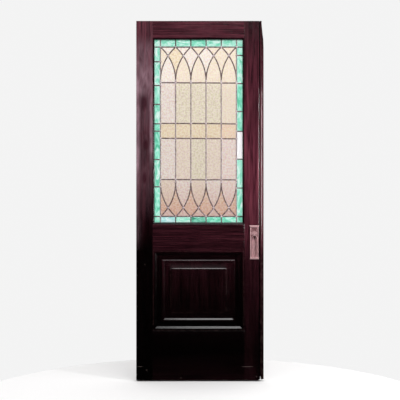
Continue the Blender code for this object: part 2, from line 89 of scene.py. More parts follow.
def addNode(tree, kind, inputs=None, **settings):
    node = tree.nodes.new("ShaderNode" + kind)
    for name, value in settings.items():
        setattr(node, name, value)
    feed(node, inputs or {})
    return node


def newMaterial(name):
    material = bpy.data.materials.new(name)
    material.use_nodes = True
    return material, material.node_tree.nodes["Principled BSDF"]


# What follows adds one node beside the sockets that it is given, and returns the node's own socket
def spotOf(material):
    return addNode(material.node_tree, "TexCoord").outputs["Object"]


def wearAndShadeOf(material):
    return addNode(material.node_tree, "Attribute", attribute_name="wearAndShade").outputs["Fac"]


def axisOf(spot, axis):
    return addNode(spot.id_data, "SeparateXYZ", {"Vector": spot}).outputs[axis]


# Draws a pattern out along one axis: a smaller share makes it longer
def drawnOut(spot, along, share):
    scale = (share, 1.0, 1.0) if along == "X" else (1.0, 1.0, share)
    return addNode(spot.id_data, "Mapping", {"Scale": scale, "Vector": spot}).outputs["Vector"]


def noiseOf(spot, scale, detail, roughness=0.5, distortion=0.0):
    values = {"Scale": scale, "Detail": detail, "Roughness": roughness, "Distortion": distortion}
    return addNode(spot.id_data, "TexNoise", {**values, "Vector": spot}).outputs["Fac"]


def rangeOf(source, low, high, newLow=0.0, newHigh=1.0):
    values = {"From Min": low, "From Max": high, "To Min": newLow, "To Max": newHigh}
    return addNode(source.id_data, "MapRange", {**values, "Value": source}).outputs["Result"]


# A ramp's stops are a position and a hex colour, or a position and a grey value
def rampOf(source, stops):
    node = addNode(source.id_data, "ValToRGB", {"Fac": source})
    ramp = node.color_ramp
    while len(ramp.elements) < len(stops):
        ramp.elements.new(0.5)
    for element, (position, colour) in zip(ramp.elements, stops):
        element.position = position
        element.color = paint(colour) if isinstance(colour, str) else grey(colour)
    return node.outputs["Color"]


def mathOf(operation, *sources, clamp=False):
    return addNode(sources[0].id_data, "Math", dict(enumerate(sources)), operation=operation,
                   use_clamp=clamp).outputs["Value"]


def mixOf(factor, first, second, blend="MIX"):
    return addNode(first.id_data, "Mix", {0: factor, 6: first, 7: second}, data_type="RGBA",
                   blend_type=blend).outputs[2]


def reliefOf(height, strength, distance):
    values = {"Strength": strength, "Distance": distance}
    return addNode(height.id_data, "Bump", {**values, "Height": height}).outputs["Normal"]


# Old mahogany, hand-grained and varnished: glossy, with dark streaks drawn out along the grain,
# and painted shade that takes it almost to black towards the foot
mahogany = {
    "light": "#aa5667",
    "middle": "#7d394a",
    "dark": "#3d1722",
    "wornEdge": "#5d4440",
    "sheen": "#b893a0",
    "bruise": "#9a8a84",
    "figureMm": 36,
    "streakMm": 9,
    "poreMm": 2.2,
    "streakDraw": 1 / 34,
    "figureDraw": 0.12,
    "poreShare": 0.28,
    "roughness": 0.15,
    "varnish": 0.25,
    "varnishRoughness": 0.12,
    "shadeLeft": 0.06,           # what the deepest painted shade leaves of the colour
    "knotShare": 0.9,
    "scuffShare": 0.4,
}
# Painted light and shade down each member, for light that falls from above and dies away towards the foot:
# the share of the door's height, then the share of the colour that is left
shadeDownMiddle = ((0.0, 0.46), (0.5, 0.3), (0.575, 0.11), (0.6, 0.13), (0.7, 0.05), (0.78, 0.018), (0.92, 0.002),
              (1.0, 0.02))
shadeDownLock = ((0.0, 0.19), (0.14, 0.39), (0.35, 0.57), (0.49, 0.52), (0.6, 0.27), (0.67, 0.08), (0.8, 0.045),
            (0.92, 0.015), (1.0, 0.032))
shadeDownBack = ((0.0, 0.5), (0.3, 0.34), (0.35, 0.2), (0.42, 0.27), (0.5, 0.15), (0.56, 0.055), (0.63, 0.006),
            (1.0, 0.002))
# Painted sheen down the upper part of the back stile: light reflected in the varnish, laid on as a pale milky
# colour. It lies thin over the whole width and thick along both edges, as painted highlights on the arrises;
# each row gives its share across the stile and down the door.
sheenBands = (
    (((0.0, 0.9), (0.3, 1.0), (1.0, 0.95)),
     ((0.04, 0.06), (0.08, 0.36), (0.15, 0.58), (0.19, 0.56), (0.215, 0.2), (0.34, 0.09), (0.42, 0.14),
      (0.56, 0.0))),
    (((0.0, 0.8), (0.1, 1.0), (0.17, 0.6), (0.3, 0.12), (0.45, 0.0)),
     ((0.126, 0.0), (0.155, 1.0), (0.2, 1.0), (0.23, 0.45), (0.26, 0.95), (0.33, 0.65), (0.4, 1.0),
      (0.46, 0.3), (0.6, 0.16), (0.64, 0.0))),
    (((0.76, 0.0), (0.88, 0.7), (0.94, 1.0), (1.0, 0.9)),
     ((0.18, 0.0), (0.22, 0.9), (0.325, 1.0), (0.38, 0.5), (0.443, 0.0))),
)
# Dark knots left in the painted sheen, and small bruises: middle X, middle Z, half width, half height
knots = ((-0.373, -0.5466, 0.026, 0.062), (-0.370, -1.046, 0.018, 0.05), (-0.362, -0.825, 0.02, 0.045))
scuffs = ((-0.397, -2.3015, 0.024, 0.0028), (0.313, -2.3015, 0.046, 0.0026),
          (-0.3545, -2.3242, 0.0055, 0.0045), (-0.1267, -2.3774, 0.005, 0.0045),
          (0.376, -2.3674, 0.0045, 0.006), (-0.3677, -1.6218, 0.0045, 0.006), (0.296, -0.06, 0.0026, 0.075))


# An oval mark that is 1 in its middle and nothing outside
def ovalMark(spot, x, z, halfWidth, halfHeight):
    values = {"Location": (-x / halfWidth, 0.0, -z / halfHeight),
              "Scale": (1 / halfWidth, 0.0, 1 / halfHeight), "Vector": spot}
    local = addNode(spot.id_data, "Mapping", values).outputs["Vector"]
    away = addNode(spot.id_data, "VectorMath", {0: local}, operation="LENGTH").outputs["Value"]
    return rangeOf(away, 1.0, 0.4)


def strongest(marks):
    total = marks[0]
    for mark in marks[1:]:
        total = mathOf("MAXIMUM", total, mark)
    return total


# Lays a colour over the finish, on the front face only
def layOver(spot, amount, finish, colour):
    front = rangeOf(axisOf(spot, "Y"), 0.0, -0.01)
    return mixOf(mathOf("MULTIPLY", amount, front), finish, paint(colour))


# Painted sheen: reflected light laid over the front of the back stile as a pale colour, with dark knots left
# in it
def addPaintedSheen(spot, down, finish):
    side = rangeOf(axisOf(spot, "X"), stileLow.x, stileHigh.x)
    bands = [mathOf("MULTIPLY", rampOf(side, sideStops), rampOf(down, downStops))
             for sideStops, downStops in sheenBands]
    smears = noiseOf(drawnOut(spot, "Z", 0.22), 46.0, 5.0, distortion=0.8)
    ragged = rangeOf(smears, 0.3, 0.7, 0.4, 1.3)
    amount = mathOf("MULTIPLY", strongest(bands), ragged, clamp=True)
    finish = layOver(spot, amount, finish, mahogany["sheen"])
    for knot in knots:
        mark = mathOf("MULTIPLY", ovalMark(spot, *knot), ragged, clamp=True)
        soft = mathOf("MULTIPLY", mark, mahogany["knotShare"])
        finish = layOver(spot, soft, finish, mahogany["dark"])
    return finish


# Small bruises and rubbed lines through the varnish, paler than the wood about them
def addScuffs(spot, finish):
    marks = strongest([ovalMark(spot, *scuff) for scuff in scuffs])
    broken = rangeOf(noiseOf(spot, 260.0, 2.0), 0.4, 0.6, 0.0, mahogany["scuffShare"])
    return layOver(spot, mathOf("MULTIPLY", marks, broken), finish, mahogany["bruise"])


# A piece's wear lies between 1 on rubbed arrises, which show dull wood, and -1 in hollows, which take painted
# shade
def makeMahogany(name, along, shadeDown, sheened=False):
    material, shader = newMaterial(name)
    spot = spotOf(material)
    drawn = drawnOut(spot, along, mahogany["streakDraw"])
    streaks = noiseOf(drawn, 1000 / mahogany["streakMm"], 7.0, 0.68, 0.5)
    pores = noiseOf(drawn, 1000 / mahogany["poreMm"], 3.0, 0.6)
    figure = noiseOf(drawnOut(spot, along, mahogany["figureDraw"]), 1000 / mahogany["figureMm"], 3.0)
    fibre = mathOf("MULTIPLY_ADD", pores, mahogany["poreShare"], streaks)
    grain = rampOf(fibre, ((0.48, mahogany["dark"]), (0.63, mahogany["middle"]), (0.8, mahogany["light"])))
    down = rangeOf(axisOf(spot, "Z"), 0.0, -doorHeight)
    # Painted shade: the colour is darkened down the door by the member's list
    toneAndShade = mathOf("MULTIPLY", rangeOf(figure, 0.3, 0.7, 0.68, 1.32), rampOf(down, shadeDown))
    wearAndShade = wearAndShadeOf(material)
    # Painted shade: hollows with negative wear are darkened
    toneAndShade = mathOf("MULTIPLY", toneAndShade, rangeOf(wearAndShade, -1.0, 0.0, mahogany["shadeLeft"]))
    finish = mixOf(1.0, grain, toneAndShade, "MULTIPLY")
    patches = noiseOf(spot, 38.0, 4.0)
    worn = mathOf("MULTIPLY", wearAndShade, rangeOf(patches, 0.42, 0.62), clamp=True)
    finish = mixOf(worn, finish, paint(mahogany["wornEdge"]))
    if sheened:
        finish = addPaintedSheen(spot, down, finish)
    feed(shader, {
        "Base Color": addScuffs(spot, finish),
        "Roughness": rangeOf(patches, 0.3, 0.7, mahogany["roughness"] - 0.05,
                             mahogany["roughness"] + 0.06),
        "Normal": reliefOf(fibre, 0.08, 0.0006),
        "Coat Weight": mahogany["varnish"],
        "Coat Roughness": mahogany["varnishRoughness"],
    })
    return material


uprightMahogany = makeMahogany("mahoganyVarnishedUprightGrain", "Z", shadeDownMiddle)
levelMahogany = makeMahogany("mahoganyVarnishedLevelGrain", "X", shadeDownMiddle)
lockMahogany = makeMahogany("mahoganyVarnishedLockStile", "Z", shadeDownLock)
sheenedMahogany = makeMahogany("mahoganyVarnishedPaintedSheen", "Z", shadeDownBack, sheened=True)

# Hammered cathedral glass: rolled soda glass with seeds and small dents that break up the light.
# The real dents are about 3 mm across; they are drawn at 9 mm so that they show.
cathedral = {
    "dentMm": 9,
    "seedMm": 11,
    "hueMm": 9,
    "coolCast": "#fcf0f8",
    "warmCast": "#ffffee",
    "roughness": 0.3,
    "refraction": 1.5,
    # Painted shade darkens the light towards its foot, where less daylight reaches it from behind
    "shadeTowardsFoot": ((0.0, 0.95), (0.2, 0.95), (0.3, 0.84), (0.5, 0.83), (0.56, 0.79), (0.74, 0.77),
              (1.0, "#cdb5b2")),
}
cathedralTints = {
    "cream": ("#fff8ea", "#f4e3ce"),
    "sand": ("#fff5ea", "#e8d8c8"),
    "straw": ("#fff9ea", "#ddd4bc"),
    "amber": ("#fff6e0", "#ead4b4"),
    "shell": ("#fffffc", "#f6e2d6"),
    "blush": ("#fffdf9", "#ecd6cd"),
    "rose": ("#fffaf6", "#f2d6cf"),
    "peach": ("#fff1e0", "#f8d7b9"),
    "tan": ("#fff3e8", "#e9c6a9"),
}
# Opalescent glass: milky white run through clear green in streaks, so it glows and isn't clear
opalescent = {"streakMm": 26, "drawX": 0.5, "drawZ": 0.42, "roughness": 0.42, "clear": 0.9, "refraction": 1.5}
opalescentTints = {
    "mint": ("#f0fffa", "#aaf0da", "#70d2b0", 0.5),
    "jade": ("#d2fff0", "#93ecd0", "#5cc4a0", 0.5),
    "pale": ("#eefcfc", "#b4e8e6", "#84ccc8", 0.48),
    "dusk": ("#c4f2e4", "#76cfb2", "#3f9478", 0.5),
    "milk": ("#ffffff", "#fbf9fc", "#e9e4ee", 0.42),
}


def makeCathedralGlass(name, pale, deep):
    material, shader = newMaterial(name)
    spot = spotOf(material)
    seeds = noiseOf(spot, 1000 / cathedral["seedMm"], 5.0, 0.65)
    hues = noiseOf(spot, 1000 / cathedral["hueMm"], 2.0)
    tint = mixOf(1.0, rampOf(seeds, ((0.448, deep), (0.518, pale))),
                 rampOf(hues, ((0.46, cathedral["coolCast"]), (0.54, cathedral["warmCast"]))), "MULTIPLY")
    down = rangeOf(axisOf(spot, "Z"), glazedTop, glazedBottom)
    dents = addNode(spot.id_data, "TexVoronoi", {"Scale": 1000 / cathedral["dentMm"], "Vector": spot},
                    feature="SMOOTH_F1").outputs["Distance"]
    feed(shader, {
        "Base Color": mixOf(1.0, tint, rampOf(down, cathedral["shadeTowardsFoot"]), "MULTIPLY"),
        "Normal": reliefOf(dents, 0.5, 0.002),
        "Roughness": cathedral["roughness"],
        "Transmission Weight": 1.0,
        "IOR": cathedral["refraction"],
    })
    return material


def makeOpalescentGlass(name, along, milk, body, deep, balance):
    material, shader = newMaterial(name)
    drawn = drawnOut(spotOf(material), along, opalescent["draw" + along])
    streaks = noiseOf(drawn, 1000 / opalescent["streakMm"], 5.0, 0.6, 1.6)
    feed(shader, {
        "Base Color": rampOf(streaks, ((balance - 0.13, deep), (balance, body), (balance + 0.12, milk))),
        "Normal": reliefOf(streaks, 0.25, 0.001),
        "Roughness": opalescent["roughness"],
        "Transmission Weight": opalescent["clear"],
        "IOR": opalescent["refraction"],
    })
    return material


glasses = {kind: makeCathedralGlass("cathedralGlass" + kind.title(), *tints)
           for kind, tints in cathedralTints.items()}
for kind, way in (("mint", "X"), ("mint", "Z"), ("jade", "X"), ("jade", "Z"), ("pale", "X"), ("dusk", "X")):
    glasses[kind + way] = makeOpalescentGlass("opalescentGlass" + kind.title() + way, way,
                                              *opalescentTints[kind])
glasses["milk"] = makeOpalescentGlass("opalescentGlassMilk", "Z", *opalescentTints["milk"])

# Came and solder: lead dulled to a brownish grey, with the tinned joints a little paler
leadwork = {"came": "#bbaaad", "dust": "#cbb8be", "darkening": "#806c70", "darkerCame": "#7d696a",
            "tarnish": "#54403f", "solder": "#e2d0d6", "brightSolder": "#f0e4e8", "patchMm": 22,
            "metallic": 0.3}


def makeLead(name, body, patch, dark, roughness):
    material, shader = newMaterial(name)
    body, patch, dark = leadwork[body], leadwork[patch], leadwork[dark]
    spot = spotOf(material)
    patches = noiseOf(spot, 1000 / leadwork["patchMm"], 6.0, 0.66)
    feed(shader, {
        "Base Color": rampOf(patches, ((0.34, dark), (0.5, body), (0.68, patch))),
        "Roughness": rangeOf(patches, 0.3, 0.7, roughness - 0.1, roughness + 0.14),
        "Normal": reliefOf(noiseOf(spot, 420.0, 4.0), 0.3, 0.0006),
        "Metallic": leadwork["metallic"],
    })
    return material


cameLead = makeLead("leadCameOxidised", "came", "dust", "darkening", 0.5)
darkerCameLead = makeLead("leadCameDarker", "darkerCame", "came", "tarnish", 0.5)
solderTin = makeLead("solderTinnedJoint", "solder", "brightSolder", "came", 0.36)

# Statuary bronze, lacquer worn pink on the raised parts and brown left in the hollows
bronzework = {"worn": "#fccdd0", "body": "#b07c81", "brown": "#5a3434", "streakMm": 7, "roughness": 0.46,
              "metallic": 0.72}


def makeBronze(name):
    material, shader = newMaterial(name)
    spot = spotOf(material)
    streaks = noiseOf(drawnOut(spot, "Z", 0.22), 1000 / bronzework["streakMm"], 6.0, 0.7)
    wearAndShade = wearAndShadeOf(material)
    level = mathOf("MULTIPLY_ADD", wearAndShade, 0.75, streaks)
    feed(shader, {
        "Base Color": rampOf(level, ((0.3, bronzework["brown"]), (0.66, bronzework["body"]),
                                     (1.0, bronzework["worn"]))),
        "Roughness": rangeOf(level, 0.3, 1.2, bronzework["roughness"] + 0.2,
                             bronzework["roughness"] - 0.08),
        "Normal": reliefOf(noiseOf(spot, 600.0, 3.0), 0.2, 0.0004),
        "Metallic": bronzework["metallic"],
    })
    return material


# Iron of the lock in the mortise, dark and a little rusty
def makeIron(name):
    material, shader = newMaterial(name)
    rust = noiseOf(spotOf(material), 300.0, 4.0)
    feed(shader, {"Base Color": rampOf(rust, ((0.4, "#120d0c"), (0.7, "#241815"))), "Roughness": 0.8})
    return material


pullBronze = makeBronze("bronzeLacquerWorn")
lockIron = makeIron("ironLockDark")
print("materials made:", len(bpy.data.materials))


# Turns every closed shell of a mesh to face outwards, by the sign of its volume
def faceOutwards(shape):
    bmesh.ops.recalc_face_normals(shape, faces=shape.faces)
    shape.normal_update()
    waiting = set(shape.faces)
    while waiting:
        shell = [waiting.pop()]
        for face in shell:                      # the list grows while it is walked
            for edge in face.edges:
                for other in edge.link_faces:
                    if other in waiting:
                        waiting.discard(other)
                        shell.append(other)
        if sum(face.calc_area() * face.normal.dot(face.calc_center_median()) for face in shell) < 0:
            bmesh.ops.reverse_faces(shape, faces=shell)


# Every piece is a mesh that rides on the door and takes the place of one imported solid
def addPiece(name, corners, faces, material, node, wearAndShade=None, angle=40):
    mesh = bpy.data.meshes.new(name)
    mesh.from_pydata([tuple(corner) for corner in corners], [], faces)
    if wearAndShade is not None:
        mesh.attributes.new("wearAndShade", "FLOAT", "POINT").data.foreach_set("value", wearAndShade)
    shape = bmesh.new()
    shape.from_mesh(mesh)
    bmesh.ops.remove_doubles(shape, verts=shape.verts, dist=0.000004)
    faceOutwards(shape)
    shape.to_mesh(mesh)
    shape.free()
    mesh.shade_smooth()
    mesh.set_sharp_from_angle(angle=radians(angle))
    mesh.materials.append(material)
    piece = bpy.data.objects.new(name, mesh)
    bpy.context.scene.collection.objects.link(piece)
    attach(piece, "root")
    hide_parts(node)


# Joins closed rings of equal length into a closed skin; a piece may have several skins
def addSkins(name, skins, material, node, wearAndShade=None, angle=40):
    corners, faces = [], []
    for rings in skins:
        start, size = len(corners), len(rings[0])
        for ring in rings:
            corners += ring
        for level in range(len(rings) - 1):
            near = start + level * size
            for place in range(size):
                after = (place + 1) % size
                faces.append((near + place, near + after, near + size + after, near + size + place))
        last = len(corners) - size
        faces += [tuple(reversed(range(start, start + size))), tuple(range(last, last + size))]
    addPiece(name, corners, faces, material, node, wearAndShade, angle)


# An arc of an ellipse, as points
def arc(centre, radius, first, last, sides):
    return [(centre[0] + radius[0] * cos(first + (last - first) * step / sides),
             centre[1] + radius[1] * sin(first + (last - first) * step / sides)) for step in range(sides + 1)]


# The leaded light: five columns between border strips, with crossing arches at the head and foot
light = {
    "columns": 5,
    "pitch": 0.1016,
    "sideBorder": 0.03925,
    "topBorder": 0.0466,
    "bottomBorder": 0.0386,
    "archRadius": 0.3048,
    "upperStub": 0.0118,
    "lowerStub": 0.0186,
    "rows": (0.272, 0.100, 0.275),
    "leftPieces": (0.0985, 0.160, 0.126, 0.130, 0.049, 0.190, 0.181),
    "rightPieces": (0.0546, 0.188, 0.186, 0.1325, 0.1865, 0.193),
    "stopWidth": 0.0125,
    "edgeInset": 0.010,         # from the opening's edge to the light's
    "lap": 0.008,               # how far glass and cames run on under the stops
    "cameLap": 0.006,
    "outerCame": 0.0045,
    "glassHalf": 0.0015,
    "glassInset": 0.0011,       # glass edge to the middle of the lead
    "glassWave": 0.00025,
    "gridMm": 8.0,
    "sideSag": 0.004,           # how far the rows drop towards the right
    "belly": 0.0011,            # how far the light has bowed out of its plane
}
pitch = light["pitch"]
archRadius = light["archRadius"]
archRise = sqrt(archRadius ** 2 - (archRadius - pitch) ** 2)
firstLine = openingLeft + light["stopWidth"] + light["sideBorder"]
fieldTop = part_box("top_rail")[0].z - light["stopWidth"] - light["topBorder"]
fieldBottom = glazedBottom + light["stopWidth"] + light["bottomBorder"]
upperRow = fieldTop - archRise - light["upperStub"]
bandTop = upperRow - light["rows"][0]
bandBottom = bandTop - light["rows"][1]
lowerRow = bandBottom - light["rows"][2]
lines = [firstLine + line * pitch for line in range(light["columns"] + 1)]
topSpring = fieldTop - archRise
bottomSpring = fieldBottom + archRise
edgeLeft = openingLeft + light["edgeInset"]
edgeRight = openingRight - light["edgeInset"]
edgeTop = glazedTop - light["edgeInset"]
edgeBottom = glazedBottom + light["edgeInset"]
lap = light["lap"]


# Where a point of the drawn light has moved to: hand-made lead wanders, and the rows sag
def warp(x, z):
    across = (x - openingLeft) / (openingRight - openingLeft)
    down = (glazedTop - z) / (glazedTop - glazedBottom)
    hold = sqrt(max(0.0, 16 * across * (1 - across) * down * (1 - down)))
    spot = Vector((x * 7, 3.1, z * 7))
    dx = noise.noise(spot) * 0.0011 * hold
    dy = noise.noise(spot * 0.6 + Vector((5, 0, 0))) * light["belly"] * hold
    dz = noise.noise(spot + Vector((0, 9, 0))) * 0.001 * hold
    dz -= light["sideSag"] * sin(pi * min(max(down, 0.0), 1.0)) * (across - 0.5) * 1.1
    return Vector((x + dx, dy, z + dz))


# Where two circles about places on one level line meet above it
def circlesMeet(leftCentre, leftRadius, rightCentre, rightRadius):
    span = rightCentre - leftCentre
    along = (span ** 2 + leftRadius ** 2 - rightRadius ** 2) / (2 * span)
    return (leftCentre + along, sqrt(leftRadius ** 2 - along ** 2))


def alongCircle(centre, radius, start, end, sides):
    first = atan2(start[1], start[0] - centre)
    last = atan2(end[1], end[0] - centre)
    return arc((centre, 0.0), (radius, radius), first, last, sides)[1:-1]


# A lancet's outline about its springing line, with its foot a stub below it
def lancet(column, inset, stub):
    low = column * pitch + inset
    high = (column + 1) * pitch - inset
    radius = archRadius - inset
    rightGoing = column * pitch + archRadius
    leftGoing = (column + 1) * pitch - archRadius
    tip = circlesMeet(leftGoing, radius, rightGoing, radius)
    outline = [(low, inset - stub), (high, inset - stub), (high, 0.0)]
    outline += alongCircle(leftGoing, radius, (high, 0.0), tip, 16) + [tip]
    return outline + alongCircle(rightGoing, radius, tip, (low, 0.0), 16) + [(low, 0.0)]


def diamondFlank(line, inset):
    x = line * pitch
    outer = archRadius + inset
    inner = archRadius - inset
    own = x + archRadius
    nextOne = x + pitch - archRadius
    footX = x + inset if line == 0 else x
    foot = (footX, sqrt(outer ** 2 - (own - footX) ** 2))
    corner = circlesMeet(nextOne, inner, own, outer)
    head = (footX, sqrt(inner ** 2 - (footX - nextOne) ** 2))
    flank = [foot] + alongCircle(own, outer, foot, corner, 14) + [corner]
    return flank + alongCircle(nextOne, inner, corner, head, 8) + [head]


# Mirrors an outline about an upright line
def mirrored(outline, middle):
    return [(2 * middle - x, up) for x, up in reversed(outline)]


# Half diamonds, diamonds and triangles between the arches, from left to right
def spandrels(inset):
    radius = archRadius + inset
    head = archRise - inset
    outlines = [diamondFlank(0, inset)]
    for column in range(light["columns"]):
        rightGoing = column * pitch + archRadius
        leftGoing = (column + 1) * pitch - archRadius
        foot = circlesMeet(leftGoing, radius, rightGoing, radius)
        corner = (rightGoing - sqrt(radius ** 2 - head ** 2), head)
        flank = [foot] + alongCircle(rightGoing, radius, foot, corner, 8) + [corner]
        outlines.append(flank + mirrored(flank, (column + 0.5) * pitch)[:-1])
        if column + 1 < light["columns"]:
            flank = diamondFlank(column + 1, inset)
            outlines.append(flank + mirrored(flank, (column + 1) * pitch)[1:-1])
    return outlines + [mirrored(diamondFlank(0, inset), light["columns"] * pitch / 2)]


def rectangle(lowX, highX, lowZ, highZ, inset):
    return [(lowX + inset, lowZ + inset), (highX - inset, lowZ + inset),
            (highX - inset, highZ - inset), (lowX + inset, highZ - inset)]


def inside(x, z, outline):
    crossings = 0
    for (x0, z0), (x1, z1) in zip(outline, outline[1:] + outline[:1]):
        if (z0 > z) != (z1 > z) and x < x0 + (z - z0) / (z1 - z0) * (x1 - x0):
            crossings += 1
    return crossings % 2 == 1


# Distance from a point to the nearest side of an outline
def clearance(x, z, outline):
    nearest = 1.0
    for (x0, z0), (x1, z1) in zip(outline, outline[1:] + outline[:1]):
        length = (x1 - x0) ** 2 + (z1 - z0) ** 2
        share = max(0.0, min(1.0, ((x - x0) * (x1 - x0) + (z - z0) * (z1 - z0)) / length)) if length else 0.0
        nearest = min(nearest, hypot(x - x0 - share * (x1 - x0), z - z0 - share * (z1 - z0)))
    return nearest


def divided(outline, reach):
    points = []
    for (x0, z0), (x1, z1) in zip(outline, outline[1:] + outline[:1]):
        count = max(1, round(hypot(x1 - x0, z1 - z0) / reach))
        points += [(x0 + (x1 - x0) * step / count, z0 + (z1 - z0) * step / count) for step in range(count)]
    return points


# Triangles over an outline, with points on a grid inside it so that the face can undulate
def fillOutline(outline, grid, extraLoops=()):
    points = []
    edges = []
    loops = [outline, *extraLoops]
    for loop in loops:
        start = len(points)
        points += [Vector(point) for point in loop]
        edges += [(start + place, start + (place + 1) % len(loop)) for place in range(len(loop))]
    lowX, highX = min(x for x, z in outline), max(x for x, z in outline)
    lowZ, highZ = min(z for x, z in outline), max(z for x, z in outline)
    row = 0
    z = lowZ + grid / 2
    while z < highZ:
        x = lowX + grid * (0.5 if row % 2 else 1.0)
        while x < highX:
            if inside(x, z, outline) and all(clearance(x, z, loop) > grid * 0.4 for loop in loops):
                points.append(Vector((x, z)))
            x += grid
        z += grid * 0.87
        row += 1
    filled = delaunay_2d_cdt(points, edges, [], 1, 1e-7)
    return [tuple(point) for point in filled[0]], [tuple(corners) for corners in filled[2]]


# A slab of hand-rolled glass, a little uneven on both faces and following the light's warp
def makeGlass(name, outline, node, material):
    outline = divided(outline, light["gridMm"] / 1000)
    points, triangles = fillOutline(outline, light["gridMm"] / 1000)
    count = len(points)
    corners = []
    turn = random.uniform(0, 50)
    for side in (-1, 1):
        for x, z in points:
            spot = Vector((x * 60, turn + 20 * side, z * 60))
            swell = noise.noise(spot) * light["glassWave"]
            corners.append(warp(x, z) + Vector((0.0, side * (light["glassHalf"] + swell), 0.0)))
    faces = list(triangles)
    faces += [tuple(count + corner for corner in reversed(triangle)) for triangle in triangles]
    place = {(round(x, 7), round(z, 7)): number for number, (x, z) in enumerate(points)}
    ring = [place.get((round(x, 7), round(z, 7))) for x, z in outline]
    ring = [number for number in ring if number is not None]
    for number, after in zip(ring, ring[1:] + ring[:1]):
        faces.append((number, count + number, count + after, after))
    addPiece(name, corners, faces, material, node)


def placed(outline, spring, way):
    return [(firstLine + x, spring + way * up) for x, up in outline]


# The widths of the border's pieces as heights down the light
def stepsDown(pieces):
    steps = [fieldTop]
    for piece in pieces:
        steps.append(steps[-1] - piece)
    return steps + [fieldBottom]


# Which glass each piece is cut from, row by row and from left to right
glassChoice = {
    "topLancets": "shell cream cream cream cream",
    "topSpandrels": "cream shell amber shell shell cream shell cream cream cream cream",
    "upperLights": "blush straw straw straw cream",
    "bandLights": "amber amber amber amber peach",
    "lowerLights": "blush sand straw sand rose",
    "bottomLancets": "sand blush sand blush rose",
    "bottomSpandrels": "tan blush tan blush tan blush tan blush tan blush tan",
    "topBorder": "mintX mintX mintX jadeX mintX mintX mintX",
    "bottomBorder": "mintX paleX mintX duskX jadeX jadeX duskX",
    "leftBorder": "mintZ mintZ mintZ mintZ jadeZ jadeZ mintZ jadeZ",
    "rightBorder": "jadeZ mintZ jadeZ mintZ milk mintZ mintZ",
}
sheets = {place: [glasses[kind] for kind in kinds.split()] for place, kinds in glassChoice.items()}
clearSlot = "cathedral_glass"
inset = light["glassInset"]
for zone, spring, way, stub in (("top", topSpring, 1, light["upperStub"]),
                                ("bottom", bottomSpring, -1, light["lowerStub"])):
    for column in range(light["columns"]):
        makeGlass(f"{zone}Lancet{column + 1}", placed(lancet(column, inset, stub), spring, way),
                  f"lancet_{zone}_{column + 1}", sheets[zone + "Lancets"][column])
    for number, outline in enumerate(spandrels(inset)):
        makeGlass(f"{zone}Spandrel{number + 1}", placed(outline, spring, way), "spandrels_" + zone,
                  sheets[zone + "Spandrels"][number])
for row, slot, high, low in (("upper", clearSlot, upperRow, bandTop),
                             ("band", "amber_glass", bandTop, bandBottom),
                             ("lower", clearSlot, bandBottom, lowerRow)):
    for column in range(light["columns"]):
        makeGlass(f"{row}Lights{column + 1}", rectangle(lines[column], lines[column + 1], low, high, inset),
                  f"{row}_light_{column + 1}", sheets[row + "Lights"][column])
leftSteps = stepsDown(light["leftPieces"])
rightSteps = stepsDown(light["rightPieces"])
acrossStops = [edgeLeft - lap] + lines + [edgeRight + lap]
for number, (lowX, highX) in enumerate(zip(acrossStops, acrossStops[1:])):
    for where, low, high in (("top", fieldTop, edgeTop + lap), ("bottom", edgeBottom - lap, fieldBottom)):
        makeGlass(f"{where}Border{number + 1}", rectangle(lowX, highX, low, high, inset), "border_" + where,
                  sheets[where + "Border"][number])
for where, steps, lowX, highX in (("left", leftSteps, acrossStops[0], lines[0]),
                                  ("right", rightSteps, lines[-1], acrossStops[-1])):
    for number, (high, low) in enumerate(zip(steps, steps[1:])):
        makeGlass(f"{where}Border{number + 1}", rectangle(lowX, highX, low, high, inset), "border_" + where,
                  sheets[where + "Border"][number])
print("glass cut")


# Came: an H in section with rounded flanges, soldered where it meets or crosses
came = {
    "half": 0.004,
    "edge": 0.0022,             # height of the flange's edge and of its crown over the glass's middle
    "crown": 0.0034,
    "inner": 0.00185,           # height of the flange's underside
    "web": 0.0008,
    "step": 0.012,
    "curveSteps": 22,
    "solderRadius": 0.0068,
    "solderRise": 0.0007,
}
half = came["half"]
rounded = ((1.0, came["edge"]), (0.72, 0.00285), (0.38, 0.00325))
cameSection = [(-share * half, -depth) for share, depth in rounded] + [(0.0, -came["crown"])]
cameSection += [(share * half, -depth) for share, depth in reversed(rounded)]
cameSection += [(half, -came["inner"]), (came["web"], -came["inner"]), (came["web"], came["inner"]),
                (half, came["inner"])]
cameSection += [(-across, -depth) for across, depth in cameSection]
uprightLead = []
archedLead = []


# Sweeps the came's section along a path of (x, z) points
def layCame(path, lead=archedLead):
    rings = []
    for number, (x, z) in enumerate(path):
        before = path[max(0, number - 1)]
        after = path[min(len(path) - 1, number + 1)]
        run = Vector((after[0] - before[0], after[1] - before[1])).normalized()
        widen = 1 + 0.05 * noise.noise(Vector((x * 45, 1.7, z * 45)))
        rings.append([warp(x, z) + Vector((-run.y * across * widen, depth, run.x * across * widen))
                      for across, depth in cameSection])
    lead.append(rings)


def straight(start, end):
    count = max(2, round(hypot(end[0] - start[0], end[1] - start[1]) / came["step"]))
    return [(start[0] + (end[0] - start[0]) * step / count, start[1] + (end[1] - start[1]) * step / count)
            for step in range(count + 1)]


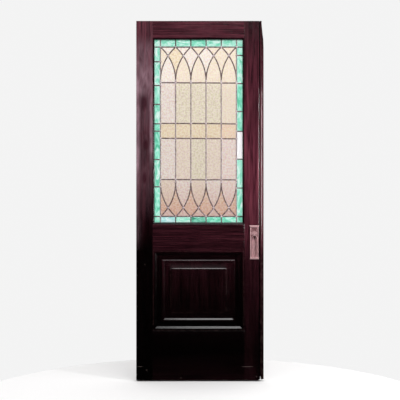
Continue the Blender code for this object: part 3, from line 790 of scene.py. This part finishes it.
cameLap = light["cameLap"]
for line, x in enumerate(lines):
    if line in (0, light["columns"]):
        layCame(straight((x, edgeBottom - cameLap), (x, edgeTop + cameLap)), uprightLead)
    else:
        layCame(straight((x, edgeBottom - cameLap), (x, fieldBottom)))
        layCame(straight((x, bottomSpring), (x, topSpring)), uprightLead)
        layCame(straight((x, fieldTop), (x, edgeTop + cameLap)))
for z in (fieldTop, fieldBottom):
    layCame(straight((edgeLeft - cameLap, z), (edgeRight + cameLap, z)))
for z in (upperRow, bandTop, bandBottom, lowerRow):
    layCame(straight((lines[0], z), (lines[-1], z)))
for z in leftSteps[1:-1]:
    layCame(straight((edgeLeft - cameLap, z), (lines[0], z)))
for z in rightSteps[1:-1]:
    layCame(straight((lines[-1], z), (edgeRight + cameLap, z)))
sweep = acos((archRadius - pitch) / archRadius)
for spring, way in ((topSpring, 1), (bottomSpring, -1)):
    for column in range(light["columns"]):
        for start, turn in ((column, 1), (column + 1, -1)):
            centre = firstLine + start * pitch + turn * archRadius
            angles = [sweep * step / came["curveSteps"] for step in range(came["curveSteps"] + 1)]
            layCame([(centre - turn * archRadius * cos(angle), spring + way * archRadius * sin(angle))
                     for angle in angles])
# The outermost came lies in the rebate behind the stops
outer = light["outerCame"]
for x in (edgeLeft - outer, edgeRight + outer):
    layCame(straight((x, edgeBottom - lap), (x, edgeTop + lap)))
for z in (edgeTop + outer, edgeBottom - outer):
    layCame(straight((edgeLeft - lap, z), (edgeRight + lap, z)))
# The field's upright cames take the lighter lead; the level and arched cames, the border crossings and the
# outer came take a darker copy of it
addSkins("uprightCames", uprightLead, cameLead, "lead_lattice", angle=60)
addSkins("archedCames", archedLead, darkerCameLead, "lead_lattice", angle=60)

tipHeight = sqrt(archRadius ** 2 - (archRadius - pitch / 2) ** 2)
joints = [(x, z) for x in lines for z in (fieldTop, upperRow, bandTop, bandBottom, lowerRow, fieldBottom)]
joints += [(lines[0], z) for z in leftSteps[1:-1]] + [(lines[-1], z) for z in rightSteps[1:-1]]
joints += [(x, z) for x in lines for z in (topSpring, bottomSpring)]
for left in lines[:-1]:
    joints += [(left + pitch / 2, topSpring + tipHeight), (left + pitch / 2, bottomSpring - tipHeight)]
solder = []


# A low, uneven blob of solder on one face of the light
def addSolder(x, z, side):
    turn = random.uniform(0, 2 * pi)
    stretched = random.uniform(0.82, 1.2)
    rings = []
    for share, rise in ((1.0, 0.0), (0.9, 0.5), (0.62, 0.86), (0.28, 1.0)):
        ring = []
        for step in range(14):
            angle = 2 * pi * step / 14
            ragged = 1 + 0.16 * noise.noise(Vector((x * 90 + 1.8 * cos(angle), z * 90, 1.8 * sin(angle))))
            radius = came["solderRadius"] * share * ragged
            across = radius * cos(angle + turn) * stretched
            up = radius * sin(angle + turn) / stretched
            lump = 1 + 0.2 * noise.noise(Vector((x * 200 + across * 400, 2.0, z * 200 + up * 400)))
            depth = 0.0029 + came["solderRise"] * rise * lump + (0.0003 if share < 1 else -0.0006)
            ring.append(warp(x, z) + Vector((across, side * depth, up)))
        rings.append(ring)
    solder.append(rings)


for x, z in joints:
    for side in (-1, 1):
        addSolder(x, z, side)
addSkins("solderJoints", solder, solderTin, "lead_lattice", angle=70)
print("came laid, joints soldered:", len(joints))


# Mitred strips round an opening, on either face: a section of (distance in from the opening's
# edge, depth below the door's face), with each point's wear, negative where painted shade darkens it
def makeStrips(prefix, node, section, wearAndShadeShare, lowZ, highZ, step=0.03):
    middleZ = (lowZ + highZ) / 2
    places = {"Top": lambda run, across: (openingMiddle + run, highZ - across),
              "Bottom": lambda run, across: (openingMiddle + run, lowZ + across),
              "Left": lambda run, across: (openingLeft + across, middleZ + run),
              "Right": lambda run, across: (openingRight - across, middleZ + run)}
    for face, side in (("Front", -1), ("Back", 1)):
        for where, place in places.items():
            level = where in ("Top", "Bottom")
            length = (openingRight - openingLeft) if level else (highZ - lowZ)
            count = round(length / step)
            rings = []
            for station in range(count + 1):
                ring = []
                for (across, depth), share in zip(section, wearAndShadeShare):
                    reach = length / 2 - across - seam
                    run = -reach + 2 * reach * station / count
                    dent = 0.00012 * noise.noise(Vector((run * 30, across * 300, side + len(where))))
                    x, z = place(run, across)
                    ring.append(Vector((x, side * (faceDepth - depth - (dent if share > 0 else 0.0)), z)))
                rings.append(ring)
            addSkins(prefix + face + where, [rings], levelMahogany if level else uprightMahogany,
                     f"{node}_{face}_{where}".lower(), wearAndShadeShare * len(rings), angle=32)


stop = {"width": light["stopWidth"], "setback": 0.002, "fillet": 0.0035, "depth": 0.0187, "darkening": 0.9}
roundSize = stop["width"] - stop["fillet"]
stopSection = [(seam, stop["depth"]), (seam, stop["setback"] + 0.0004), (seam + 0.0004, stop["setback"]),
               (stop["fillet"] - 0.0002, stop["setback"])]
stopSection += arc((stop["fillet"], stop["setback"] + roundSize), (roundSize, roundSize), -pi / 2, 0.0, 9)
stopSection += [(stop["width"], stop["depth"])]
# Painted shade on the stops, for the shadow round the glazed opening, darkest beside the glass
stopShade = [-stop["darkening"] * min(1.0, step / 4) for step in range(len(stopSection))]
makeStrips("stop", "glazing_stop", stopSection, stopShade, glazedBottom, glazedTop)

moulding = {"outerRound": 0.031, "hollow": 0.0315, "backDepth": 0.0157, "wearAndShade": 0.12, "darkening": 0.8}
# Outer round, long shallow hollow and inner bead
mouldingSection = [(seam, moulding["backDepth"]), (seam, 0.0012), (0.0008, 0.0004), (0.003, 0.0001),
                   (0.008, 0.0), (0.0125, 0.0002), (0.0155, 0.0008), (0.0185, 0.0024), (0.0225, 0.0050),
                   (0.0265, 0.0077), (0.0290, 0.0090), (0.0310, 0.0095)]
for step in range(1, 8):
    share = step / 7
    mouldingSection.append((moulding["outerRound"] + moulding["hollow"] * share,
                            0.0095 + 0.0024 * sin(share * pi / 2)))
mouldingSection += [(0.0632, 0.0112), (0.0650, 0.0100), (0.0668, 0.0091), (0.0686, 0.0087), (0.0702, 0.0089),
                    (0.0735, 0.0103), (0.0770, 0.0122), (0.0805, 0.0141), (0.0825, 0.0151), (0.0830, 0.0157)]
mouldingWearAndShade = []
for across, depth in mouldingSection:
    crest = max(0.0, 1 - depth / 0.0016) if across < moulding["outerRound"] else 0.0
    # Painted shade darkens the long hollow; the outer round's crest shows wear
    hollowShade = moulding["darkening"] if 0.012 < across < 0.06 else 0.0
    mouldingWearAndShade.append(moulding["wearAndShade"] * crest - hollowShade)
makeStrips("moulding", "panel_moulding", mouldingSection, mouldingWearAndShade, panelBottom, panelTop)
print("stops and mouldings mitred")


# The raised panel: a tongue in the groove, sloping bevels and a stepped field, alike on both faces
raised = {"tongue": 0.0095, "margin": 0.006, "fieldInset": 0.1185, "bevel": 0.0355, "bevelRise": 0.0065,
          "step": 0.003, "chamfer": 0.0042, "wearAndShade": 0.3, "stationsAcross": 14, "stationsUp": 18}
fieldHalfWidth = (openingRight - openingLeft) / 2 - raised["fieldInset"]
fieldHalfHeight = (panelTop - panelBottom) / 2 - raised["fieldInset"]
panelMiddle = (panelTop + panelBottom) / 2


# A loop round the panel, so far outside the field's edge and at a depth
def panelRing(out, depth):
    across = [-1 + 2 * step / raised["stationsAcross"] for step in range(raised["stationsAcross"])]
    up = [-1 + 2 * step / raised["stationsUp"] for step in range(raised["stationsUp"])]
    loop = [(x, -1) for x in across] + [(1, z) for z in up]
    loop += [(-x, -z) for x, z in loop]
    return [Vector((openingMiddle + x * (fieldHalfWidth + out), depth,
                    panelMiddle + z * (fieldHalfHeight + out))) for x, z in loop]


top = raised["margin"] + raised["bevelRise"]
crest = top + raised["step"]
edge = raised["chamfer"]
frontSteps = [(-0.02, crest, 0.0), (-1.15 * edge, crest, 0.0), (-0.95 * edge, crest - 0.0002, 0.7),
              (-0.08 * edge, top + 0.0003, 0.5), (0.1 * edge, top, 0.0),
              (raised["bevel"], raised["margin"], 0.0),
              (raised["fieldInset"] + raised["tongue"], raised["margin"], 0.0)]
rings = [panelRing(out, -depth) for out, depth, share in frontSteps]
rings += [panelRing(out, depth) for out, depth, share in reversed(frontSteps)]
panelWear = []
for out, depth, share in frontSteps + frontSteps[::-1]:
    panelWear += [share * raised["wearAndShade"]] * len(rings[0])
addSkins("raisedPanel", [rings], uprightMahogany, "panel", panelWear, angle=24)
print("panel raised")


# The nosing on the leading edge, seen in plan a quirk and a round; its head is broken away and
# its foot is split
nosing = {"quirkWidth": 0.0065, "quirkDepth": 0.007, "width": 0.0255, "shoulder": 0.003, "short": 0.006,
          "chipDepth": 0.0145, "chipFlat": 0.033, "chipRun": 0.190, "splitLeft": 0.0071, "splitWidth": 0.006,
          "splitHeight": 0.026, "wearAndShade": 0.9, "rubbed": 0.5, "dull": 0.15, "split": 0.35, "darkening": -0.9,
          "headStep": 0.0036, "headStations": 60, "stations": 70, "footStations": 8}
quirk = nosing["quirkWidth"]
nosingReach = quirk + nosing["width"]


# How far out the nosing still reaches at a height, along the break at its head
def chipLimit(z):
    flat, run = nosing["chipFlat"], nosing["chipRun"]
    steps = ((0.0, 1.0), (0.5 * flat, 1.0), (flat, 0.9), (0.5 * run, 0.45), (0.62 * run, 0.2), (run, -0.05))
    for (low, first), (high, last) in zip(steps, steps[1:]):
        if low <= -z <= high:
            share = first + (last - first) * (-z - low) / (high - low)
            return nosingReach - share * nosing["chipDepth"]
    return nosingReach + 0.01


def nosingPlan(sides):
    half = faceDepth - nosing["quirkDepth"]
    start = quirk + nosing["shoulder"]
    plan = [(seam, half), (seam, -half), (quirk, -half), (quirk, -faceDepth + nosing["shoulder"])]
    plan += arc((start, 0.0), (nosingReach - start, faceDepth), -pi / 2, pi / 2, sides)
    return plan + [(quirk, faceDepth - nosing["shoulder"]), (quirk, half)]


nosingWearAndShade = []
plan = nosingPlan(28)
length = doorHeight - nosing["short"]
heights = [-nosing["headStep"] * step for step in range(nosing["headStations"])]
run = length - nosing["splitHeight"] + heights[-1]
heights += [heights[-1] - run * step / nosing["stations"] for step in range(1, nosing["stations"] + 1)]
whole = []
for z in heights:
    ring = []
    limit = chipLimit(z)
    for x, y in plan:
        splinter = 0.0009 * noise.noise(Vector((y * 260, z * 45, 4.0))) - 0.0004
        broken = x > limit + splinter
        reach = limit + splinter if broken else x
        dent = 0.0002 * noise.noise(Vector((y * 90, z * 22, 1.0))) if x > quirk + 0.002 else 0.0
        ring.append(Vector((stileEdge + reach - abs(dent), y, z)))
        # The quirk takes painted shade; the round shows wear and the break shows bare wood
        rubbed = nosing["rubbed"] if abs(y) < 0.012 else nosing["dull"]
        nosingWearAndShade.append(nosing["wearAndShade"] if broken else rubbed if x > quirk else nosing["darkening"])
    whole.append(ring)
# The foot: a sliver against the stile and, past the split, the rest of the round
foot = heights[-1] + 0.0004
footShares = [step / nosing["footStations"] for step in range(nosing["footStations"] + 1)]
splitRight = nosing["splitLeft"] + nosing["splitWidth"]
rest, sliver = [], []
for share in footShares:
    z = foot + (-length - foot) * share
    inner = splitRight - nosing["splitWidth"] * (1 - share) ** 1.6
    torn = [inner + 0.0005 * noise.noise(Vector((y * 200, z * 160, 7.0))) for x, y in plan]
    rest.append([Vector((stileEdge + max(x, ragged), y, z)) for (x, y), ragged in zip(plan, torn)])
    sliver.append([Vector((stileEdge + min(x, nosing["splitLeft"]), y, z)) for x, y in plan])
    nosingWearAndShade += [nosing["split"]] * len(plan)
nosingWearAndShade += [0.0] * len(sliver) * len(plan)
addSkins("edgeNosing", [whole, rest, sliver], lockMahogany, "edge_nosing", nosingWearAndShade,
         angle=38)
print("nosing run")


# The pull plates: a cornice, raised borders, a finger cup with an arched head and a keyhole in it.
# The front one has a fan of petals in low relief; the back one is plain.
plate = {
    "width": 0.0546, "height": 0.2257, "topWidth": 0.0646, "footWidth": 0.0585, "cornice": 0.0055,
    "neck": 0.013, "foot": 0.007, "drop": 1.3615, "inset": 0.0315,
    "seat": 0.0223, "field": 0.0248, "rim": 0.0260, "floor": 0.0140, "back": 0.0125,
    "rimWidth": 0.0045, "cupWidth": 0.034, "cupHeight": 0.140, "cupFoot": 0.0187,
    "keyRadius": 0.004, "keySlot": 0.0042, "keyDrop": 0.013, "keyBelow": 0.012,
    "petals": 7, "petalLength": 0.027, "screwRadius": 0.0033, "gridMm": 1.35,
}
plateX = stileEdge - plate["inset"]
cupHalf = plate["cupWidth"] / 2
cupFoot = plate["cupFoot"] - plate["height"]
cupSpring = cupFoot + plate["cupHeight"] - cupHalf
keyCentre = cupFoot + plate["cupHeight"] - plate["keyBelow"]
screwPlaces = [(side * 0.0205, up) for side in (-1, 1) for up in (-0.0185, 0.0135 - plate["height"])]
fanFoot = cupSpring + cupHalf + 0.006


def smooth(low, high, value):
    share = min(1.0, max(0.0, (value - low) / (high - low)))
    return share * share * (3 - 2 * share)


# Distance from the cup's outline, negative inside it
def fromCup(u, v):
    if v >= cupSpring:
        return hypot(u, v - cupSpring) - cupHalf
    across = abs(u) - cupHalf
    below = cupFoot - v
    if across > 0 and below > 0:
        return hypot(across, below)
    return max(across, below)


def cupLoop(grow):
    span = cupHalf + grow
    loop = [(-span, cupFoot - grow), (span, cupFoot - grow)]
    return divided(loop + arc((0.0, cupSpring), (span, span), 0.0, pi, 22), 0.004)


def plateLoop(shrink):
    right = [(plate["footWidth"] / 2 - shrink, shrink - plate["height"]),
             (plate["footWidth"] / 2 - shrink, plate["foot"] - plate["height"]),
             (plate["width"] / 2 - shrink, 2 * plate["foot"] - plate["height"]),
             (plate["width"] / 2 - shrink, -plate["neck"])]
    cove = ((plate["topWidth"] - plate["width"]) / 2, plate["neck"] - plate["cornice"])
    right += arc((plate["topWidth"] / 2 - shrink, -plate["neck"]), cove, pi, pi / 2, 6)[1:]
    right += [(plate["topWidth"] / 2 - shrink, -shrink)]
    return divided(right + mirrored(right, 0.0), 0.004)


def keyholeLoop():
    half = plate["keySlot"] / 2
    start = -acos(half / plate["keyRadius"])
    loop = arc((0.0, keyCentre), (plate["keyRadius"], plate["keyRadius"]), start, pi - start, 18)
    return loop + [(-half, keyCentre - plate["keyDrop"]), (half, keyCentre - plate["keyDrop"])]


# Height of the fan of petals that stands over the cup's arched head
def petalRise(u, v):
    distance = hypot(u, v - fanFoot)
    angle = atan2(v - fanFoot, u)
    rise = 0.0
    for petal in range(plate["petals"]):
        axis = pi * (petal + 0.5) / plate["petals"]
        along = distance * cos(angle - axis) / plate["petalLength"]
        across = distance * sin(angle - axis)
        if 0.05 < along < 1:
            width = 0.0041 * sin(pi * along ** 0.8) ** 0.7
            share = abs(across) / width if width > 0.0002 else 2.0
            if share < 1:
                rise = max(rise, 0.62 * sqrt(1 - share ** 2) + 0.3 * (share > 0.7))
    rise = max(rise, 0.9 * (1 - smooth(0.003, 0.0048, hypot(u, v - fanFoot - 0.001))))
    for way in (-1, 1):
        lozenge = abs(u - way * 0.0165) / 0.0042 + abs(v + 0.0305) / 0.0075
        rise = max(rise, 0.85 * max(0.0, 1 - lozenge) ** 0.6)
    return rise


# How far the plate's face stands from the middle of the door
def plateHeight(u, v, front):
    fromSide = plate["width"] / 2 - abs(u)
    raisedShare = 1 - smooth(plate["rimWidth"] - 0.0009, plate["rimWidth"], fromSide)
    raisedShare = max(raisedShare, smooth(-plate["neck"] - 0.0008, -plate["neck"], v))
    raisedShare = max(raisedShare, 1 - smooth(2 * plate["foot"] - plate["height"],
                                              2 * plate["foot"] - plate["height"] + 0.0008, v))
    away = fromCup(u, v)
    raisedShare = max(raisedShare, 1 - smooth(0.0016, 0.0027, away))
    if front and v > cupSpring + cupHalf and raisedShare < 1:
        raisedShare = max(raisedShare, petalRise(u, v))
    if front and raisedShare < 0.9 and v < cupSpring:
        raisedShare = max(raisedShare, 0.45 * (0.5 + 0.5 * cos(v * 2 * pi / 0.0052)) * (fromSide > 0.0052))
    height = plate["field"] + (plate["rim"] - plate["field"]) * raisedShare
    groove = 1 - smooth(0.0004, 0.001, abs(v + plate["cornice"] + 0.0022))
    height -= 0.0007 * groove
    if away < 0:
        height = plate["floor"] + (plate["rim"] - plate["floor"]) * (1 - smooth(0.0, 0.0022, -away)) ** 1.4
        height -= 0.0004 * smooth(0.004, 0.017, -away)
    for x, up in screwPlaces:
        reach = hypot(u - x, v - up)
        if reach < plate["screwRadius"]:
            dome = sqrt(1 - (reach / plate["screwRadius"]) ** 2 * 0.7)
            slot = abs((u - x) * 0.8 + (v - up) * 0.6) < 0.0006
            height = plate["rim"] - 0.0011 + 0.0011 * dome - (0.0007 if slot else 0.0)
        elif reach < plate["screwRadius"] + 0.0006:
            height -= 0.0005
    return min(height, plate["rim"])


def makePlate(name, side, node):
    outline = plateLoop(0.0)
    keyLoop = keyholeLoop()
    loops = [plateLoop(0.0005), cupLoop(0.0016), cupLoop(0.0), cupLoop(-0.0011), cupLoop(-0.0022), keyLoop]
    for x, up in screwPlaces:
        for radius in (plate["screwRadius"] * 0.97, plate["screwRadius"] + 0.0003):
            loops.append(arc((x, up), (radius, radius), 0.0, 2 * pi * 17 / 18, 17))
    points, triangles = fillOutline(outline, plate["gridMm"] / 1000, loops)
    kept = [triangle for triangle in triangles
            if not inside(sum(points[corner][0] for corner in triangle) / 3,
                          sum(points[corner][1] for corner in triangle) / 3, keyLoop)]
    count = len(points)
    corners, wearAndShade = [], []
    for u, v in points:
        height = plateHeight(u, v, side < 0)
        if min(hypot(u - x, v - z) for x, z in outline) < 0.00002:
            height -= 0.0005
        corners.append(Vector((plateX + u, side * height, v - plate["drop"])))
        rubAndShade = smooth(plate["field"] + 0.0002, plate["rim"], height)
        # Inside the cup a middling rub, with painted shade that darkens it towards the arched head, under the
        # hood
        if fromCup(u, v) < -0.002:
            rubAndShade = 0.5 - 0.35 * smooth(cupSpring - 0.02, cupSpring + cupHalf, v)
        wearAndShade.append(rubAndShade)
    for u, v in points:
        away = fromCup(u, v)
        height = plate["seat"] - (plate["seat"] - plate["back"]) * (1 - smooth(-0.0005, 0.0015, away))
        corners.append(Vector((plateX + u, side * height, v - plate["drop"])))
        wearAndShade.append(0.1)
    faces = kept + [tuple(count + corner for corner in reversed(triangle)) for triangle in kept]
    # The rim of the plate and of the keyhole: edges that only one triangle has
    seen = {pair: True for triangle in kept for pair in zip(triangle, triangle[1:] + triangle[:1])}
    faces += [(end, start, count + start, count + end) for start, end in seen if (end, start) not in seen]
    addPiece(name, corners, faces, pullBronze, node, wearAndShade, angle=50)


# Behind the keyhole stands the lock, of which only darkness shows
lockHalf = {"width": 0.015, "depth": 0.0115, "height": 0.026, "drop": 0.012}
caseMiddle = keyCentre - plate["drop"] - lockHalf["drop"]
rings = [[Vector((plateX + x * lockHalf["width"], y, caseMiddle + z * lockHalf["height"]))
          for x, z in ((-1, -1), (1, -1), (1, 1), (-1, 1))] for y in (-lockHalf["depth"], lockHalf["depth"])]
addSkins("lockBody", [rings], lockIron, "lock_plate_front")

makePlate("pullPlateFront", -1, "lock_plate_front")
makePlate("pullPlateBack", 1, "lock_plate_back")
print("pull plates chased")

# The flat members stay as packed and take the wood that suits their grain
for node, wood in (("back_stile", sheenedMahogany), ("lock_stile", lockMahogany), ("top_rail", levelMahogany),
                   ("lock_rail", levelMahogany), ("bottom_rail", levelMahogany)):
    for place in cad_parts[node].material_slots:
        place.material = wood

# The stand: a pale floor, daylight behind the glass and a large soft light in front
studio = {
    "floor": "#fbfafa",
    "floorRadius": 1.5,
    "backdrop": 0.9,
    "behindGlass": 1.08,
    "horizon": 0.004,
    "zenith": 1.8,
    "keyPower": 49,
    "keySize": (2.6, 1.6),
    "keyPlace": (0.9, -3.4, 1.9),
    "sidePower": 6,
    "stripPower": 36,
}
floorMaterial, floorShader = newMaterial("paperFloorPale")
feed(floorShader, {"Base Color": paint(studio["floor"]), "Roughness": 0.85})
floorMesh = bpy.data.meshes.new("floor")
shape = bmesh.new()
bmesh.ops.create_circle(shape, cap_ends=True, segments=96, radius=studio["floorRadius"])
shape.to_mesh(floorMesh)
shape.free()
floorMesh.materials.append(floorMaterial)
floor = bpy.data.objects.new("floor", floorMesh)
floor.location = (0.0, -0.7, -doorHeight - 0.008)
floor.visible_glossy = False
bpy.context.scene.collection.objects.link(floor)

bpy.context.scene.view_settings.view_transform = "Standard"
world = bpy.data.worlds.new("studioDaylight")
bpy.context.scene.world = world
world.use_nodes = True
world.node_tree.nodes.clear()
path = addNode(world.node_tree, "LightPath").outputs
rise = axisOf(addNode(world.node_tree, "TexCoord").outputs["Generated"], "Z")
sky = rampOf(rangeOf(rise, -0.02, 1.0),
             ((0.0, studio["horizon"]), (0.09, 0.01), (0.17, 0.02), (0.225, 0.04), (0.32, 0.12), (0.5, 0.28),
              (0.8, 1.1), (1.0, studio["zenith"])))
through = mixOf(path["Is Transmission Ray"], sky, grey(studio["behindGlass"]))
lit = mixOf(path["Is Camera Ray"], through, grey(studio["backdrop"]))
background = addNode(world.node_tree, "Background", {"Color": lit, "Strength": 1.0}).outputs["Background"]
addNode(world.node_tree, "OutputWorld", {"Surface": background})


def addLight(name, place, target, size, power):
    lamp = bpy.data.lights.new(name, "AREA")
    lamp.shape = "RECTANGLE"
    lamp.size, lamp.size_y = size
    lamp.energy = power
    made = bpy.data.objects.new(name, lamp)
    made.location = place
    made.rotation_euler = (Vector(target) - Vector(place)).to_track_quat("-Z", "Y").to_euler()
    bpy.context.scene.collection.objects.link(made)


addLight("softKey", studio["keyPlace"], (0.0, 0.0, -0.8), studio["keySize"], studio["keyPower"])
addLight("sideFill", (-2.6, -2.2, -0.2), (0.0, 0.0, -1.2), (0.9, 1.8), studio["sidePower"])
addLight("edgeStrip", (2.26, -1.67, -0.81), (0.4, 0.0, -0.95), (0.22, 1.3), studio["stripPower"])

# The camera stands square to the front, on the height of the door's middle
view = {"distance": 5.5, "frame": 2.663, "sensorMm": 36.0, "x": -0.0003, "z": -1.1924}
camera = bpy.data.cameras.new("camera")
camera.sensor_width = view["sensorMm"]
camera.lens = view["sensorMm"] * view["distance"] / view["frame"]
camera.clip_start = 0.05
cameraObject = bpy.data.objects.new("camera", camera)
cameraObject.location = (view["x"], -faceDepth - view["distance"], view["z"])
cameraObject.rotation_euler = (pi / 2, 0.0, 0.0)
bpy.context.scene.collection.objects.link(cameraObject)
bpy.context.scene.camera = cameraObject
